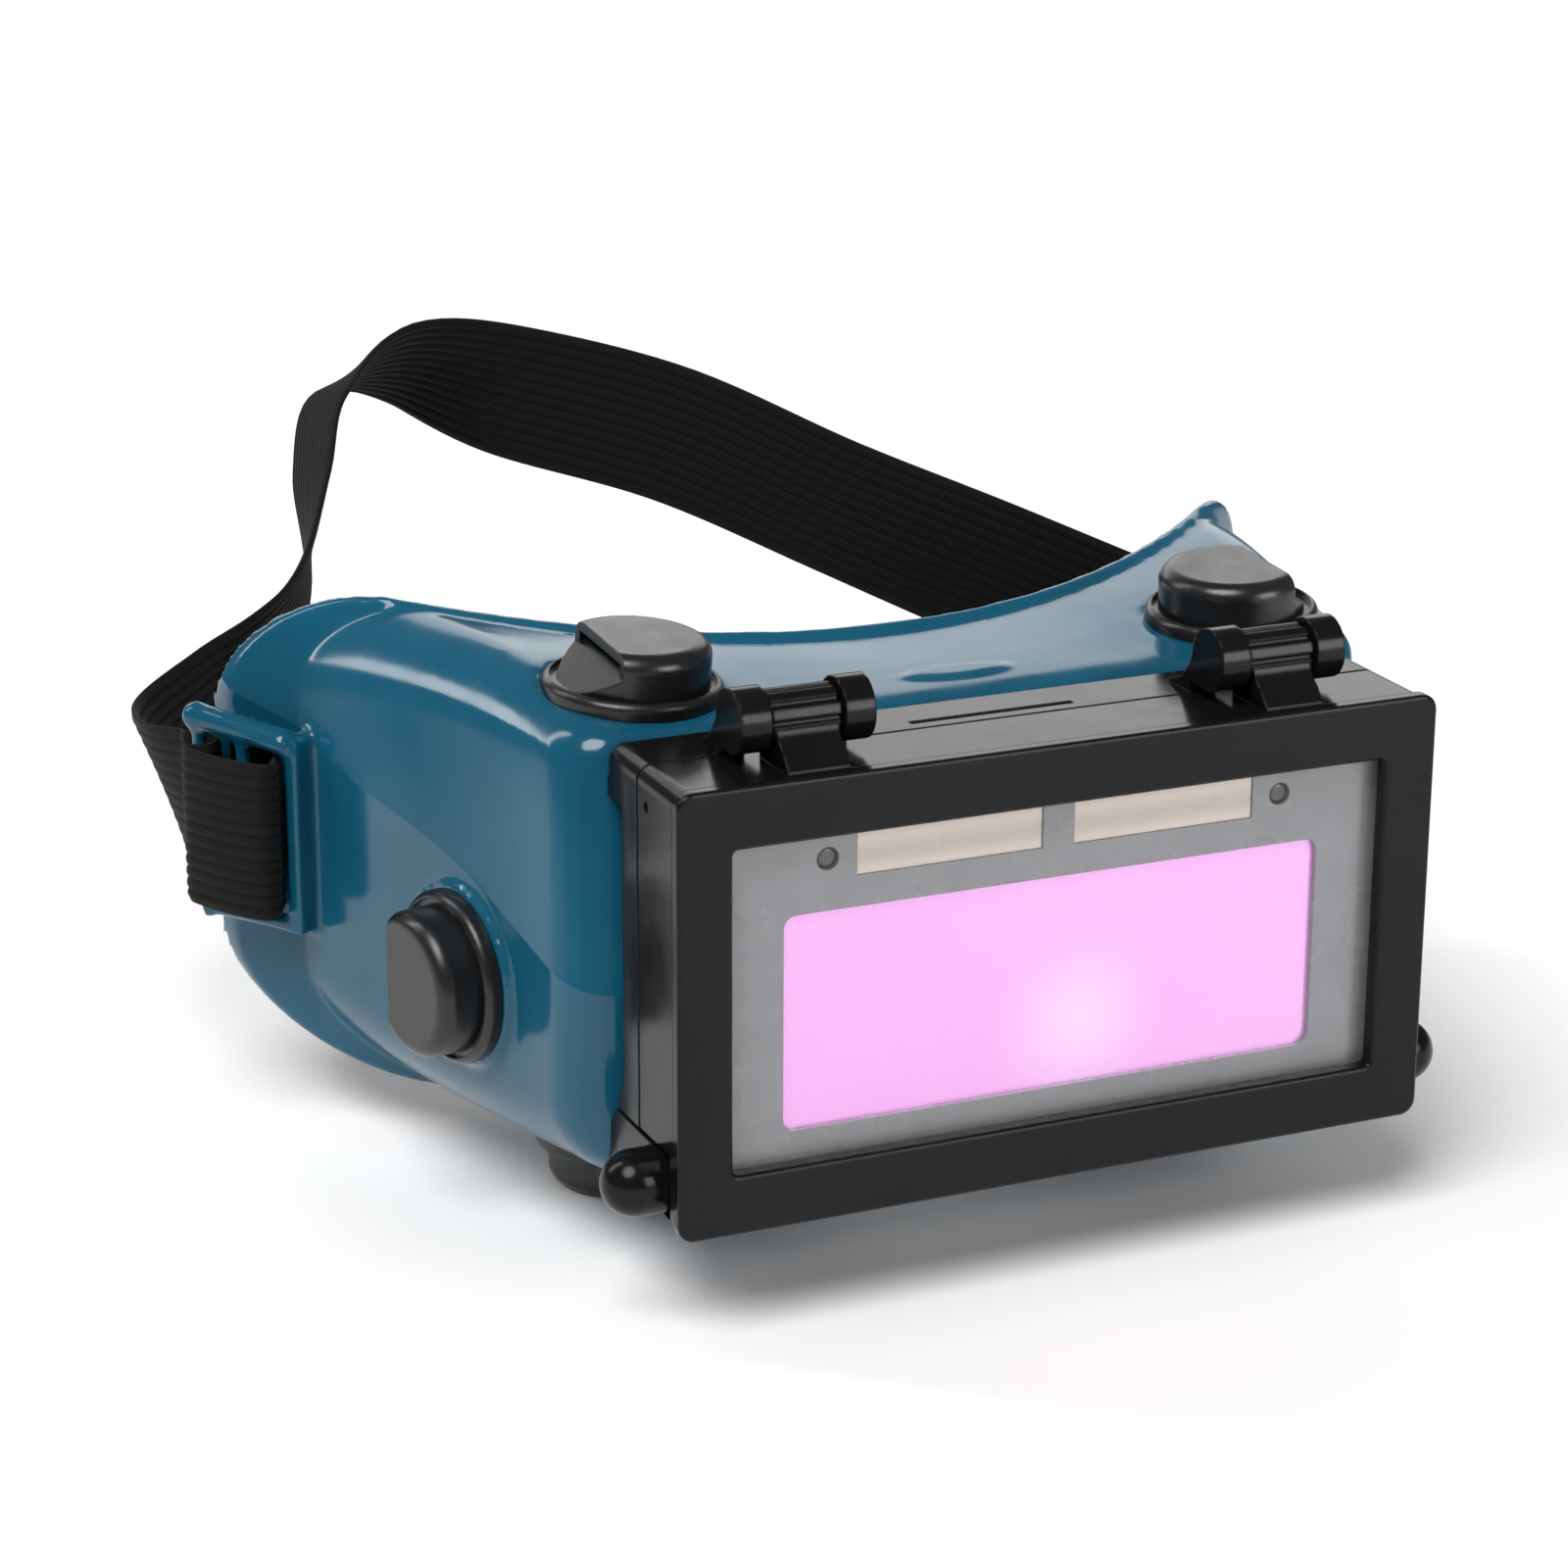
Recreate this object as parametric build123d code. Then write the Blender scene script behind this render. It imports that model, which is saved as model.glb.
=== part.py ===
from build123d import *
import os
from math import atan2, cos, radians, sin, sqrt

# Auto-darkening flip-up welding goggles, in millimetres.
# The parts are drawn from the centre of the flip frame's front face: X across, Y back towards
# the wearer, Z up. At the end everything moves by STAND, so that Z = 0 is the level of the lower
# vents' flat faces and the origin is under the middle of the whole object.
STAND = (0.0, -97.0, 49.2)

# Flip frame and base frame, which meet at a seam
FRAME_W = 120.0
FRAME_H = 66.3
FRAME_R = 2.5
BEZEL_STEP = 0.4
BEZEL_DEPTH = 2.2
FLIP_DEPTH = 15.5
SEAM_Y = 16.0
SIDE_BACK_Y = 21.6
TOP_BACK_Y = 26.2
EAR_BACK_Y = 31.5
WALL = 2.1
FRONT_WALL = 2.4
OPENING_W = 103.5
OPENING_H = 48.3
NECK_W = 112.0
NECK_H = 56.0
NECK_BACK_Y = 30.6

# Standard lens and filter cartridge, 108 x 51
LENS_W = 108.0
LENS_H = 51.0
CARTRIDGE_T = 5.2
CARTRIDGE_Y = 3.6
SKIN = 0.6
VIEW_W = 85.3
VIEW_H = 32.4
VIEW_Z = -4.1
CELL_W = 29.0
CELL_H = 8.1
CELL_X = 17.0
CELL_Z = 20.75
SENSOR_X = 36.0
SENSOR_Z = 19.8

# Hinges on top of the frame
HINGE_X = 37.6
HINGE_Y = 11.0
HINGE_Z = 39.0
KNUCKLE_W = 10.2
KNUCKLE_R = 4.0
LUG_GAP = 0.5
LUG_W = 4.5
LUG_R = 4.7
PIN_R = 1.1
PIN_RUNNING = 0.05
PIN_END = 1.2

# Press tabs that hold the flip frame shut
TAB_Y = 9.5
TAB_Z = -26.8
TAB_R = 4.9
TAB_X = 63.0
TAB_PLATE = (57.8, 59.8)
TAB_BACK_Y = 24.4
TAB_TRAVEL = 1.2
TAB_GAP = 0.35

# Face mask: half width, top, bottom, upper and lower corner radius, and dip of the top's middle,
# for each distance back from the front
MASK_SECTIONS = [
    (26.5, 57.6, 31.9, -32.6, 3.0, 8.5, 0.2),
    (27.3, 60.6, 33.1, -34.0, 3.5, 9.5, 0.4),
    (28.9, 62.9, 33.9, -35.2, 4.2, 10.8, 0.8),
    (31.3, 64.6, 34.5, -36.1, 5.0, 12.0, 1.2),
    (34.0, 65.7, 35.0, -36.8, 5.8, 13.2, 1.7),
    (65.0, 72.4, 38.0, -39.8, 9.5, 16.0, 5.8),
    (90.0, 79.5, 37.3, -39.3, 12.0, 16.5, 6.5),
    (121.0, 86.2, 35.2, -36.6, 21.0, 17.0, 6.5),
]
# the first rows make the rounded shoulder, and the body runs on from the last of them
SHOULDER_ROWS = 5
MASK_WALL = 2.4
MASK_FRONT_Y = 26.5
FACE_R = 104.0
FACE_Y = 168.0
LIP_T = 2.2
LIP_OUT = 5.5
LIP_UP = 1.6
LIP_DOWN = 1.2
NOSE_SECTIONS = [(40.0, 10.0, 8.0), (92.0, 28.0, 44.0)]
NOSE_Z = -42.0

# Vents: pushed through holes in the mask, three on each side
VENT_R = 13.3
VENT_FLANGE = 2.6
HOOD_R = 11.2
HOOD_CHORD = 5.5
HOOD_TOP = 8.8
HOOD_WALL = 1.5
STEM_R = 9.8
STEM_BORE = 7.6
STEM_END = -6.2
PAD_R = 14.0
PAD_T = 4.0
RING_R = 11.4
VENTS = {
    "top": ((49.5, 42.6, 34.4), (-0.05, -0.05, 1.0), (1.0, 0.0, 0.05)),
    "side": ((71.8, 58.5, -11.5), (1.0, -0.2, 0.0), (0.2, 1.0, 0.0)),
    "bottom": ((45.0, 60.6, -40.4), (0.0, 0.0, -1.0), (0.0, 1.0, 0.0)),
}

# Moulded strap loops: three upright bars between two level ones, in plan
LOOP_FRONT = (86.0, 95.0)
LOOP_BACK = (95.5, 110.5)
LOOP_Z = 0.3
LOOP_H = 32.6
LOOP_POST = (3.0, 2.0, 2.4)
LOOP_TOP = (15.2, 16.6)
LOOP_TOP_R = 2.2
LOOP_LOW = -14.6
LOOP_LOW_R = 1.5

# Elastic strap
STRAP_W = 25.4
STRAP_T = 1.4
# Free run round the back, from the left loop to the right one: centre, then the direction
# across the band from its lower edge to its upper edge
STRAP_RUN = [
    ((-95.6, 117.0, 0.0), (-0.05, 0.0, 1.0)),
    ((-96.0, 128.0, -1.0), (-0.30, 0.05, 0.95)),
    ((-91.5, 143.0, -1.5), (-0.40, 0.10, 0.90)),
    ((-80.0, 157.0, 1.0), (-0.35, -0.15, 0.92)),
    ((-68.0, 166.0, 7.0), (-0.37, -0.50, 0.78)),
    ((-59.0, 172.0, 19.0), (-0.33, -0.86, 0.38)),
    ((-55.5, 177.0, 36.0), (-0.06, -0.97, 0.23)),
    ((-50.5, 181.5, 49.0), (-0.05, -0.97, 0.25)),
    ((-37.0, 181.5, 53.0), (0.03, -0.71, 0.70)),
    ((-18.0, 176.0, 47.5), (0.07, -0.25, 0.97)),
    ((7.0, 165.5, 40.0), (0.06, -0.15, 0.98)),
    ((32.0, 151.0, 28.0), (0.15, -0.24, 0.96)),
    ((56.0, 138.5, 17.0), (0.20, -0.10, 0.97)),
    ((78.0, 127.0, 7.0), (0.15, -0.03, 0.98)),
    ((89.5, 121.4, 2.5), (0.10, 0.0, 0.99)),
    ((95.6, 117.0, 0.0), (0.05, 0.0, 1.0)),
]
# Threading through a loop, from the free tail to the free run: distance along the loop from
# its middle bar, then distance outwards from it
STRAP_THREAD = [
    (6.0, -4.2), (3.0, -4.0), (0.0, -3.7), (-3.8, -3.1), (-5.9, -1.2), (-6.9, 0.9), (-8.2, 2.2),
    (-7.4, 3.9), (-4.0, 4.7), (0.0, 4.9), (4.0, 4.7), (7.6, 4.2), (9.1, 2.9), (6.9, 1.4),
    (6.5, -0.4), (7.0, -2.0), (8.8, -2.95), (12.0, -3.2),
]


def slab(width, height, y_from, y_to, radius=0.0, x=0.0, z=0.0):
    """A plate that stands across the line of sight."""
    shape = RectangleRounded(width, height, radius) if radius else Rectangle(width, height)
    plane = Plane(origin=(x, y_from, z), x_dir=(1, 0, 0), z_dir=(0, -1, 0))
    return extrude(plane * shape, amount=y_from - y_to)


def span(x, y, z):
    """A box between three pairs of limits."""
    middle = [(low + high) / 2 for low, high in (x, y, z)]
    return Pos(*middle) * Box(*[high - low for low, high in (x, y, z)])


def profile_along_x(points, x_from, x_to):
    """A plate with a side profile of (y, z) points, between two values of X."""
    plane = Plane(origin=(x_from, 0, 0), x_dir=(0, 1, 0), z_dir=(1, 0, 0))
    return extrude(plane * make_face(Polyline(*points, close=True)), amount=x_to - x_from)


def rod_along_x(x_from, x_to, y, z, radius):
    plane = Plane(origin=(x_from, y, z), x_dir=(0, 1, 0), z_dir=(1, 0, 0))
    return extrude(plane * Circle(radius), amount=x_to - x_from)


def both_sides():
    return (("left", -1), ("right", 1))


# ---------------------------------------------------------------- flip-up front

def hinge_knuckle(x):
    """Ridged middle barrel with a hollowed web that runs down to the frame's front edge."""
    half = KNUCKLE_W / 2
    barrel = rod_along_x(x - half, x + half, HINGE_Y, HINGE_Z, KNUCKLE_R)
    for turn in range(0, 200, 40):
        angle = radians(turn)
        y = HINGE_Y - KNUCKLE_R * cos(angle)
        z = HINGE_Z + KNUCKLE_R * sin(angle)
        barrel -= rod_along_x(x - half, x + half, y, z, 0.55)
    web_half = half - 0.4
    web = profile_along_x(
        [(3.0, FRAME_H / 2 - 1.2), (3.0, FRAME_H / 2), (HINGE_Y - 3.0, HINGE_Z),
         (HINGE_Y + 2.0, HINGE_Z), (HINGE_Y + 2.0, FRAME_H / 2 - 1.2)],
        x - web_half, x + web_half)
    web -= rod_along_x(x - web_half, x + web_half, 2.4, HINGE_Z + 0.6, 5.0)
    bore = rod_along_x(x - half, x + half, HINGE_Y, HINGE_Z, PIN_R + PIN_RUNNING)
    return barrel + web - bore


def make_flip_frame():
    inner_w = FRAME_W - 2 * BEZEL_STEP
    inner_h = FRAME_H - 2 * BEZEL_STEP
    frame = slab(FRAME_W, FRAME_H, 0, BEZEL_DEPTH, FRAME_R)
    frame = fillet(frame.edges().group_by(Axis.Y)[0], 0.6)
    frame += slab(inner_w, inner_h, BEZEL_DEPTH, FLIP_DEPTH, FRAME_R)
    frame -= slab(inner_w - 2 * WALL, inner_h - 2 * WALL, FRONT_WALL, FLIP_DEPTH, 1.5)
    rail_w = LENS_W + 0.8
    rail_h = LENS_H + 0.8
    rail = slab(rail_w + 2.4, rail_h + 2.4, FRONT_WALL, 12.6, 1.5)
    frame += rail - slab(rail_w, rail_h, FRONT_WALL, 12.6, 1.0)
    frame -= slab(OPENING_W, OPENING_H, 0, FRONT_WALL, 1.0)
    frame = chamfer(frame.faces().sort_by(Axis.Y)[0].inner_wires()[0].edges(), 0.4)
    for side in (-1, 1):
        notch_x = sorted((side * (rail_w / 2 + 1.25), side * (FRAME_W / 2 + 1)))
        frame -= span(notch_x, (4.3, FLIP_DEPTH), (TAB_Z - 5.4, TAB_Z + 5.5))
        spot_x = sorted((side * (FRAME_W / 2 - 1.2), side * (FRAME_W / 2)))
        frame -= rod_along_x(spot_x[0], spot_x[1], 12.5, 27.7, 0.8)
    for side in (-1, 1):
        frame += hinge_knuckle(side * HINGE_X)
    return frame


def make_cover_lens():
    return slab(LENS_W, LENS_H, FRONT_WALL, FRONT_WALL + 1.0, 1.0)


def make_filter_housing():
    """Cartridge shell, with a window, two cell windows and two sensor holes in its face."""
    back = CARTRIDGE_Y + CARTRIDGE_T
    shell = slab(LENS_W, LENS_H, CARTRIDGE_Y, back, 1.2)
    shell -= slab(LENS_W - 2 * SKIN, LENS_H - 2 * SKIN, CARTRIDGE_Y + 0.8, back - 0.8, 0.8)
    shell -= slab(VIEW_W, VIEW_H, CARTRIDGE_Y, CARTRIDGE_Y + 0.8, 2.0, z=VIEW_Z)
    shell -= slab(VIEW_W + 4, VIEW_H, back - 0.8, back, 2.0, z=VIEW_Z)
    for side in (-1, 1):
        shell -= slab(CELL_W, CELL_H, CARTRIDGE_Y, CARTRIDGE_Y + 0.8, x=side * CELL_X, z=CELL_Z)
        hole = Plane(origin=(side * SENSOR_X, CARTRIDGE_Y, SENSOR_Z), x_dir=(1, 0, 0), z_dir=(0, 1, 0))
        shell -= extrude(hole * Circle(1.7), amount=0.8)
    return shell


def make_interference_filter():
    return slab(VIEW_W + 3, VIEW_H + 2.8, CARTRIDGE_Y + 0.85, CARTRIDGE_Y + 1.95, 0.8, z=VIEW_Z)


def make_lcd_shutter():
    return slab(VIEW_W + 6, VIEW_H + 2.8, CARTRIDGE_Y + 2.0, CARTRIDGE_Y + 4.35, 0.8, z=VIEW_Z)


def make_solar_cell(side):
    return slab(CELL_W - 0.1, CELL_H - 0.1, CARTRIDGE_Y + 0.3, CARTRIDGE_Y + 0.9,
                x=side * CELL_X, z=CELL_Z)


def make_light_sensor(side):
    """Photodiode: a short round can with a domed window."""
    plane = Plane(origin=(side * SENSOR_X, CARTRIDGE_Y + 3.0, SENSOR_Z), x_dir=(1, 0, 0), z_dir=(0, -1, 0))
    can = extrude(plane * Circle(1.5), amount=2.6)
    front = can.faces().sort_by(Axis.Y)[0]
    return fillet(front.edges(), 0.6)


def make_control_board():
    return slab(78.0, 9.4, CARTRIDGE_Y + 3.0, CARTRIDGE_Y + 3.8, z=19.6)


def make_button_battery(side):
    plane = Plane(origin=(side * 46.5, CARTRIDGE_Y + 1.2, 19.4), x_dir=(1, 0, 0), z_dir=(0, 1, 0))
    return extrude(plane * Circle(5.0), amount=2.5)


def make_filter_retainer():
    """Frame that snaps in behind the cartridge, with a finger notch at each end."""
    ring = slab(LENS_W + 0.2, LENS_H + 0.2, 9.0, 11.4, 1.0)
    ring -= slab(LENS_W - 9, LENS_H - 9, 9.0, 11.4, 3.0)
    for side in (-1, 1):
        ring -= slab(4.0, 12.0, 9.0, 11.4, x=side * (LENS_W / 2))
    return ring


# ---------------------------------------------------------------- base frame

def hinge_lug(x_from, x_to):
    """Outer hinge ear that stands on the base frame and reaches forward over the pin's end."""
    top = FRAME_H / 2 - 0.6
    lug = rod_along_x(x_from, x_to, HINGE_Y, HINGE_Z, LUG_R)
    lug += profile_along_x(
        [(HINGE_Y, HINGE_Z - LUG_R + 0.1), (HINGE_Y, HINGE_Z + LUG_R), (HINGE_Y + 2.4, HINGE_Z + 3.8),
         (16.6, 37.0), (18.6, 34.6), (22.5, top + 0.6), (22.5, top), (SEAM_Y + 0.2, top),
         (SEAM_Y + 0.2, HINGE_Z - LUG_R + 0.1)],
        x_from, x_to)
    return lug


def make_base_frame():
    half_w = FRAME_W / 2 - BEZEL_STEP
    half_h = FRAME_H / 2 - BEZEL_STEP
    frame = slab(2 * half_w, 2 * half_h, SEAM_Y, EAR_BACK_Y, FRAME_R)
    # the sides stop short of the mask between the top and the lower ears
    for side in (-1, 1):
        relief = profile_along_x(
            [(SIDE_BACK_Y, 25.0), (SIDE_BACK_Y, -16.0), (24.5, -22.0), (28.6, -26.6), (EAR_BACK_Y, -28.0),
             (EAR_BACK_Y, 25.0)],
            min(side * NECK_W / 2, side * (half_w + 1)), max(side * NECK_W / 2, side * (half_w + 1)))
        frame -= relief
    frame -= span((-half_w, half_w), (TOP_BACK_Y, EAR_BACK_Y), (NECK_H / 2, half_h))
    frame -= span((-half_w, half_w), (TOP_BACK_Y, EAR_BACK_Y), (-half_h, -NECK_H / 2)) - ears_block()
    frame -= mask_form(MASK_FRONT_Y, 0.3)
    frame += slab(NECK_W, NECK_H, SIDE_BACK_Y, NECK_BACK_Y, 3.0)
    # lens seat open to the front, and the window behind it
    frame -= slab(LENS_W + 0.6, LENS_H + 0.6, SEAM_Y, 20.2, 1.0)
    frame -= slab(OPENING_W - 1.5, OPENING_H - 1.3, SEAM_Y, NECK_BACK_Y, 1.5)
    # slot moulded in the top
    frame -= span((-16.5, 9.5), (18.0, 19.2), (half_h - 1.0, half_h))
    for side in (-1, 1):
        tab_x = sorted((side * (TAB_PLATE[0] - TAB_TRAVEL - TAB_GAP), side * (FRAME_W / 2 + 1)))
        frame -= span(tab_x, (SEAM_Y, TAB_BACK_Y + TAB_GAP), (TAB_Z - 5.3, TAB_Z + 5.3))
        for edge in (-1, 1):
            inner = side * HINGE_X + edge * (KNUCKLE_W / 2 + LUG_GAP)
            outer = inner + edge * LUG_W
            frame += hinge_lug(min(inner, outer), max(inner, outer))
        frame -= make_hinge_pin(side)
    return frame


def ears_block():
    """The two lower corners, which reach back beside the mask."""
    half_w = FRAME_W / 2 - BEZEL_STEP
    blocks = span((-half_w, -NECK_W / 2 - 1), (TOP_BACK_Y, EAR_BACK_Y), (-FRAME_H / 2, -NECK_H / 2))
    return blocks + span((NECK_W / 2 + 1, half_w), (TOP_BACK_Y, EAR_BACK_Y), (-FRAME_H / 2, -NECK_H / 2))


def make_lens_retainer():
    ring = slab(LENS_W + 0.2, LENS_H + 0.2, SEAM_Y + 0.2, SEAM_Y + 1.1, 1.0)
    return ring - slab(LENS_W - 6, LENS_H - 6, SEAM_Y + 0.2, SEAM_Y + 1.1, 2.0)


def make_clear_lens():
    return slab(LENS_W, LENS_H, SEAM_Y + 1.1, SEAM_Y + 3.1, 1.0)


def make_lens_gasket():
    ring = slab(LENS_W + 0.2, LENS_H + 0.2, SEAM_Y + 3.1, SEAM_Y + 4.2, 1.0)
    return ring - slab(LENS_W - 5, LENS_H - 3.4, SEAM_Y + 3.1, SEAM_Y + 4.2, 1.5)


def make_clamp_ring():
    """Ring behind the mask's front wall that clips on the base frame's neck."""
    ring = slab(NECK_W + 4.0, NECK_H + 3.2, MASK_FRONT_Y + MASK_WALL + 0.2, NECK_BACK_Y, 4.0)
    return ring - slab(NECK_W + 0.2, NECK_H + 0.2, MASK_FRONT_Y + MASK_WALL + 0.2, NECK_BACK_Y, 3.0)


def make_hinge_pin(side):
    reach = KNUCKLE_W / 2 + LUG_GAP + LUG_W - PIN_END
    return rod_along_x(side * HINGE_X - reach, side * HINGE_X + reach, HINGE_Y, HINGE_Z, PIN_R)


def make_latch_tab(side):
    """Flexible tongue that carries a round press button in the flip frame's side notch."""
    plane = Plane(origin=(side * TAB_PLATE[0], TAB_Y, TAB_Z), x_dir=(0, 1, 0), z_dir=(side, 0, 0))
    button = extrude(plane * Circle(TAB_R), amount=TAB_X - TAB_PLATE[0])
    button += Pos(side * TAB_X, TAB_Y, TAB_Z) * Sphere(TAB_R)
    tongue = span(sorted((side * TAB_PLATE[0], side * TAB_PLATE[1])),
                  (TAB_Y, TAB_BACK_Y), (TAB_Z - TAB_R, TAB_Z + TAB_R))
    return button + tongue


# ---------------------------------------------------------------- face mask

def section_at(y):
    """The mask's half width, top, bottom, corner radii and dip at a distance back."""
    for low, high in zip(MASK_SECTIONS, MASK_SECTIONS[1:]):
        if y <= high[0]:
            break
    part = (y - low[0]) / (high[0] - low[0])
    return [a + (b - a) * part for a, b in zip(low[1:], high[1:])]


def mask_outline(y, side, up, down):
    """A cross-section of the mask grown by so much each way: a rounded box with a dipped top."""
    half, top, bottom, upper_r, lower_r, dip = section_at(y)
    half += side
    top += up
    bottom -= down
    upper_r = max(upper_r + min(side, up), 0.8)
    lower_r += min(side, down)
    upper_x = half - upper_r
    lower_x = half - lower_r
    upper_z = top - upper_r
    lower_z = bottom + lower_r
    slant = sqrt(0.5)
    edges = [
        ThreePointArc((-upper_x, top), (0, top - dip), (upper_x, top)),
        ThreePointArc((upper_x, top), (upper_x + slant * upper_r, upper_z + slant * upper_r),
                      (half, upper_z)),
        Line((half, upper_z), (half, lower_z)),
        ThreePointArc((half, lower_z), (lower_x + slant * lower_r, lower_z - slant * lower_r),
                      (lower_x, bottom)),
        Line((lower_x, bottom), (-lower_x, bottom)),
        ThreePointArc((-lower_x, bottom), (-lower_x - slant * lower_r, lower_z - slant * lower_r),
                      (-half, lower_z)),
        Line((-half, lower_z), (-half, upper_z)),
        ThreePointArc((-half, upper_z), (-upper_x - slant * upper_r, upper_z + slant * upper_r),
                      (-upper_x, top)),
    ]
    plane = Plane(origin=(0, y, 0), x_dir=(1, 0, 0), z_dir=(0, -1, 0))
    return plane * make_face(edges)


def mask_form(first_y, grow):
    """The mask's outer shape as one solid, grown outwards all round: a shoulder, then the body."""
    depths = [row[0] for row in MASK_SECTIONS]
    shoulder = [first_y] + [y for y in depths[:SHOULDER_ROWS] if y > first_y]
    form = loft([mask_outline(y, grow, grow, grow) for y in shoulder], ruled=True)
    return form + loft([mask_outline(y, grow, grow, grow) for y in depths[SHOULDER_ROWS - 1:]])


def mask_hollow():
    """The space inside the mask's walls, with the nose channel standing up in it."""
    return mask_form(MASK_FRONT_Y + MASK_WALL, -MASK_WALL) - nose(MASK_WALL)


def nose(grow):
    """The wearer's nose, as a cone that widens towards the face."""
    (front_y, front_w, front_h), (back_y, back_w, back_h) = NOSE_SECTIONS
    rings = []
    for y, width, height in ((front_y - grow, front_w, front_h), (back_y, back_w, back_h)):
        plane = Plane(origin=(0, y, NOSE_Z), x_dir=(1, 0, 0), z_dir=(0, -1, 0))
        rings.append(plane * Ellipse(width + grow, height + grow))
    return loft(rings)


def face_curve(extra):
    """Upright cylinder about which the mask's rim wraps."""
    return Pos(0, FACE_Y, 0) * Cylinder(FACE_R + extra, 200)


def on_loop(along, out):
    """Plan position of a point near the right loop, from its middle bar."""
    (front_x, front_y), (back_x, back_y) = LOOP_FRONT, LOOP_BACK
    turn = atan2(back_y - front_y, back_x - front_x)
    x = (front_x + back_x) / 2 + along * cos(turn) + out * sin(turn)
    y = (front_y + back_y) / 2 + along * sin(turn) - out * cos(turn)
    return x, y


def rod_between(start, end, radius):
    axis = Vector(*end) - Vector(*start)
    return Plane(origin=start, z_dir=axis) * Pos(0, 0, axis.length / 2) * Cylinder(radius, axis.length)


def strap_loop():
    """Right-hand loop: three uprights between two round bars, with a knob and a nub on the last."""
    (front_x, front_y), (back_x, back_y) = LOOP_FRONT, LOOP_BACK
    along = Vector(back_x - front_x, back_y - front_y, 0)
    half = along.length / 2
    middle = on_loop(0, 0)
    plane = Plane(origin=(*middle, LOOP_Z), x_dir=along, z_dir=(along.Y, -along.X, 0))
    loop = plane * Pos(-half, 0, -3.6) * Box(LOOP_POST[0], LOOP_H, 6.8)
    for x, width in ((0, LOOP_POST[1]), (half, LOOP_POST[2])):
        height = LOOP_TOP[1] - LOOP_LOW
        loop += plane * Pos(x, LOOP_LOW + height / 2, 0) * Box(width, height, 2.0)
    loop += plane * rod_between((-half, LOOP_TOP[0], -0.8), (half, LOOP_TOP[1], 0), LOOP_TOP_R)
    loop += plane * rod_between((-half, LOOP_LOW, -1.2), (half, LOOP_LOW, -0.4), LOOP_LOW_R)
    loop += plane * Pos(half + 0.3, LOOP_TOP[1], 0) * Sphere(2.5)
    loop += plane * Pos(half - 0.6, LOOP_LOW - 1.0, 0) * Sphere(1.3)
    return loop


def vent_plane(row):
    centre, normal, opening = VENTS[row]
    return Plane(origin=centre, x_dir=opening, z_dir=normal)


def at_vent(row, shape, side):
    """Place a shape drawn about a vent's own axis, on the right or mirrored to the left."""
    placed = vent_plane(row) * shape
    return mirror(placed, about=Plane.YZ) if side < 0 else placed


def disc(radius, low, high):
    return Pos(0, 0, (low + high) / 2) * Cylinder(radius, high - low)


def make_face_mask():
    hollow = mask_hollow()
    shell = mask_form(MASK_FRONT_Y, 0) - nose(0) - hollow - face_curve(0)
    rear = MASK_SECTIONS[SHOULDER_ROWS - 1:]
    rim = loft([mask_outline(row[0], LIP_OUT, LIP_UP, LIP_DOWN) for row in rear])
    rim = (rim - face_curve(0)) & face_curve(LIP_T)
    rim = rim - nose(-4.0) - hollow
    shell += rim
    shell -= slab(NECK_W + 0.6, NECK_H + 0.6, MASK_FRONT_Y - 1, MASK_FRONT_Y + MASK_WALL + 1, 3.0)
    for row in VENTS:
        for _, side in both_sides():
            shell -= at_vent(row, disc(VENT_R + 0.3, 0, 7), side)
            shell -= at_vent(row, disc(RING_R + 0.5, -PAD_T - 4, -PAD_T), side)
            shell += at_vent(row, disc(PAD_R, -PAD_T, 0), side)
            shell -= at_vent(row, disc(STEM_R + 0.3, -PAD_T - 3, 1), side)
    loop = strap_loop()
    return shell + loop + mirror(loop, about=Plane.YZ)


# ---------------------------------------------------------------- vents

def cut_disc(radius, chord, low, high):
    """A round block with one side cut flat, the flat facing +X."""
    block = disc(radius, low, high)
    return block - span((chord, radius + 1), (-radius - 1, radius + 1), (low - 1, high + 1))


def make_vent_hood(row, side):
    """Flanged cap with a hood that is open on its flat side, a ramp in its mouth, and a stem."""
    flange = disc(VENT_R, 0, VENT_FLANGE)
    flange = fillet(flange.edges().group_by(Axis.Z)[-1], 1.25)
    flange -= disc(HOOD_R + 1.0, VENT_FLANGE - 0.8, VENT_FLANGE)
    hood = cut_disc(HOOD_R, HOOD_CHORD, VENT_FLANGE - 0.8, HOOD_TOP)
    crown = hood.edges().group_by(Axis.Z)[-1].filter_by(GeomType.CIRCLE)
    hood = fillet(crown, 2.4)
    cap = flange + hood + disc(STEM_R, STEM_END, 0)
    cap -= cut_disc(HOOD_R - HOOD_WALL, HOOD_CHORD + 1, VENT_FLANGE - 0.8, HOOD_TOP - HOOD_WALL)
    cap -= disc(STEM_BORE, STEM_END, VENT_FLANGE - 0.8)
    profile = Polyline((HOOD_R, 1.5), (HOOD_CHORD - 1, 6.0), (0, 6.0), (0, 1.0), close=True)
    ramp = extrude(Plane.XZ * make_face(profile), amount=HOOD_R, both=True)
    cap += ramp & disc(HOOD_R - 0.2, 0, HOOD_TOP)
    return at_vent(row, cap, side)


def make_vent_ring(row, side):
    """Ring that locks the stem behind the mask, with bars across the air hole."""
    low = STEM_END - 0.8
    ring = disc(RING_R, low, -PAD_T - 0.1) - disc(STEM_R + 0.05, STEM_END, 0)
    ring -= disc(STEM_BORE, low, STEM_END)
    for offset in (-4.0, 0.0, 4.0):
        ring += Pos(0, offset, low + 0.4) * Box(2 * STEM_BORE + 1, 1.2, 0.8)
    return at_vent(row, ring, side)


# ---------------------------------------------------------------- strap

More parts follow.
